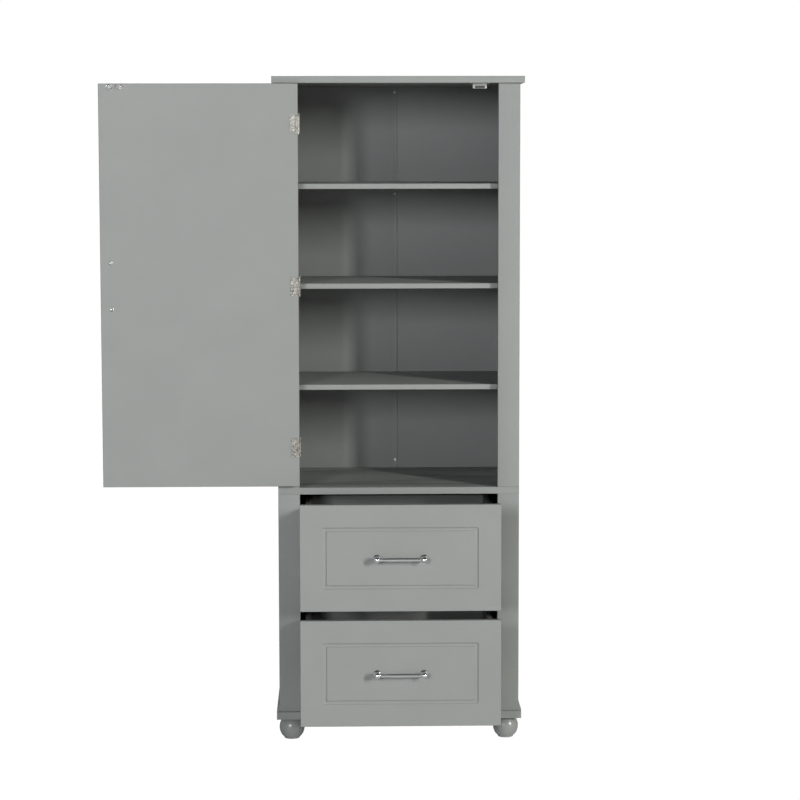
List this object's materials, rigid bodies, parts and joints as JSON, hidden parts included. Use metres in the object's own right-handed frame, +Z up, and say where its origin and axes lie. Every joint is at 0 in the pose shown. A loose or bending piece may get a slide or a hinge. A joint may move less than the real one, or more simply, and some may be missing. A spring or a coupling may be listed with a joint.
{
  "type": "pantry cabinet",
  "caption": "Tall grey cabinet with one tall hinged door over open shelf spaces, deep sliding drawers below it, chrome bar pulls, a flat top board and bun feet.",
  "frame": {"origin": "the middle of the front left foot's sole, on the floor", "axes": "+Z up, front faces -Y, +X to the viewer's right of the front"},
  "size_m": [1.007, 0.5902, 1.6],
  "materials": {
    "painted_board": "satin grey lacquer on fibreboard",
    "drawer_box": "satin grey lacquer",
    "thin_panel": "grey printed hardboard",
    "zinc_steel": "zinc plated",
    "nickel_hinge": "warm nickel plate",
    "chrome_pull": "polished chrome",
    "bright_plate": "bright nickel plate",
    "slide_enamel": "off-white epoxy",
    "nylon": "white nylon",
    "catch_plastic": "white moulded plastic",
    "magnet": "dark ferrite",
    "bare_timber": "planed softwood",
    "dowel_timber": "beech"
  },
  "bodies": {
    "cabinet": {"top_board": "painted_board", "mid_board": "painted_board", "base_board": "painted_board", "upper_side_left": "painted_board", "upper_side_right": "painted_board", "lower_side_left": "painted_board", "lower_side_right": "painted_board", "upper_stile_left": "painted_board", "upper_stile_right": "painted_board", "lower_stile_left": "painted_board", "lower_stile_right": "painted_board", "drawer_rail": "painted_board", "upper_back_left": "thin_panel", "upper_back_right": "thin_panel", "back_joint_strip": "thin_panel", "lower_back": "thin_panel", "lower_shelf": "painted_board", "middle_shelf": "painted_board", "upper_shelf": "painted_board", "shelf_pins": "zinc_steel", "front_left_foot": "painted_board", "front_right_foot": "painted_board", "rear_left_foot": "painted_board", "rear_right_foot": "painted_board", "foot_studs": "zinc_steel", "left_cove_moulding": "painted_board", "right_cove_moulding": "painted_board", "slide_cleats": "bare_timber", "slide_channels": "slide_enamel", "channel_rollers": "nylon", "catch_body": "catch_plastic", "catch_magnet": "magnet", "lower_hinge_frame_leaf": "nickel_hinge", "middle_hinge_frame_leaf": "nickel_hinge", "upper_hinge_frame_leaf": "nickel_hinge", "hinge_pins": "zinc_steel", "cabinet_screws": "zinc_steel", "dowels": "dowel_timber"},
    "door": {"door_panel": "painted_board", "door_pull": "chrome_pull", "door_pull_screws": "zinc_steel", "lower_hinge_door_leaf": "nickel_hinge", "middle_hinge_door_leaf": "nickel_hinge", "upper_hinge_door_leaf": "nickel_hinge", "door_screws": "zinc_steel", "strike_plate": "bright_plate"},
    "upper_drawer": {"upper_drawer_front": "painted_board", "upper_drawer_sides": "drawer_box", "upper_drawer_back": "drawer_box", "upper_drawer_bottom": "thin_panel", "upper_drawer_runners": "slide_enamel", "upper_drawer_pull": "chrome_pull", "upper_drawer_pull_screws": "zinc_steel"},
    "lower_drawer": {"lower_drawer_front": "painted_board", "lower_drawer_sides": "drawer_box", "lower_drawer_back": "drawer_box", "lower_drawer_bottom": "thin_panel", "lower_drawer_runners": "slide_enamel", "lower_drawer_pull": "chrome_pull", "lower_drawer_pull_screws": "zinc_steel"}
  },
  "joints": [
    {"name": "door_hinge", "type": "hinge", "parent": "cabinet", "child": "door", "pos_m": [0.02425, -0.033, 1.103], "axis": [0, 0, 1], "range_deg": [0, 180]},
    {"name": "upper_drawer_slide", "type": "slide", "parent": "cabinet", "child": "upper_drawer", "axis": [0, -1, 0], "range_m": [-0.165, 0.095]},
    {"name": "lower_drawer_slide", "type": "slide", "parent": "cabinet", "child": "lower_drawer", "axis": [0, -1, 0], "range_m": [-0.17, 0.09]}
  ]
}
